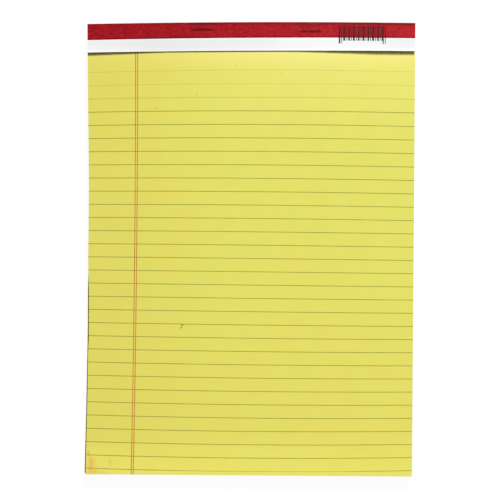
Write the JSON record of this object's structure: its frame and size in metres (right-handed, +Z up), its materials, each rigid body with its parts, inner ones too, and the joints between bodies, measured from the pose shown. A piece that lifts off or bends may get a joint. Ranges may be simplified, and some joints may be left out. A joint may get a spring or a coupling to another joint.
{
  "type": "legal pad",
  "caption": "Ruled yellow writing pad with perforated sheets, a chipboard back, a white strip across the head and red tape folded over the stapled binding.",
  "frame": {"origin": "bottom centre of the trimmed pad, at the lowest point of the tape behind the clinched staples", "axes": "+X across the sheets to the right, +Y along the sheets to the bound head, +Z up out of the page"},
  "size_m": [0.2168, 0.2985, 0.0067],
  "materials": {
    "yellow_paper": "matte",
    "chipboard": "matte",
    "white_paper": "matte",
    "red_tape": "satin",
    "staple_wire": "satin"
  },
  "bodies": {
    "root": {"sheets": "yellow_paper", "backing_board": "chipboard", "header_strip": "white_paper", "binding_tape": "red_tape", "staple_left": "staple_wire", "staple_right": "staple_wire"}
  },
  "joints": []
}
